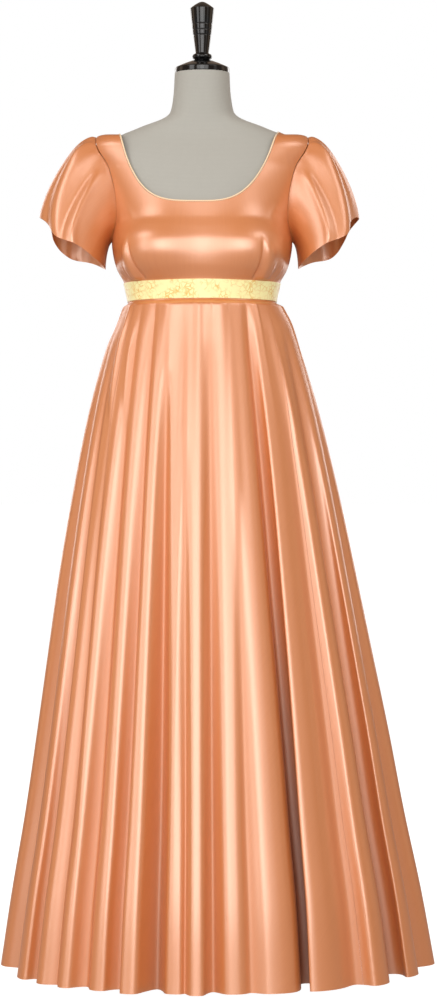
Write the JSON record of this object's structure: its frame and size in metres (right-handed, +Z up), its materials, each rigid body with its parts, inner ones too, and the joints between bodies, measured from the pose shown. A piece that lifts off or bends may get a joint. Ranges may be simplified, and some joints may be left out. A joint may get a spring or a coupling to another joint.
{
  "type": "regency gown on dress form",
  "caption": "Empire-waist satin gown with a scoop neck, flutter sleeves, a woven ribbon under the bust and a long gathered skirt, worn by a limbless dress form on a stand.",
  "frame": {"origin": "on the floor under the centre of the stand's base", "axes": "+Z up, the gown's front faces -Y, +X is the wearer's left"},
  "size_m": [0.7134, 0.6423, 1.604],
  "materials": {
    "peach_satin": "glossy peach satin",
    "cream_satin": "pale satin piping",
    "gold_ribbon": "pale gold woven lace-patterned ribbon",
    "form_linen": "plain linen cover",
    "black_lacquer": "turned wood in black gloss lacquer",
    "black_iron": "black painted iron"
  },
  "bodies": {
    "root": {"bodice_back_left": "peach_satin", "bodice_back_right": "peach_satin", "bodice_front": "peach_satin", "form_base": "black_iron", "form_finial": "black_lacquer", "form_neck_cap": "black_lacquer", "form_pole": "black_iron", "form_torso": "form_linen", "neck_piping": "cream_satin", "skirt_back_left": "peach_satin", "skirt_back_right": "peach_satin", "skirt_front": "peach_satin", "skirt_side_back_left": "peach_satin", "skirt_side_back_right": "peach_satin", "skirt_side_front_left": "peach_satin", "skirt_side_front_right": "peach_satin", "sleeve_left": "peach_satin", "sleeve_right": "peach_satin", "waist_ribbon": "gold_ribbon"}
  },
  "joints": []
}
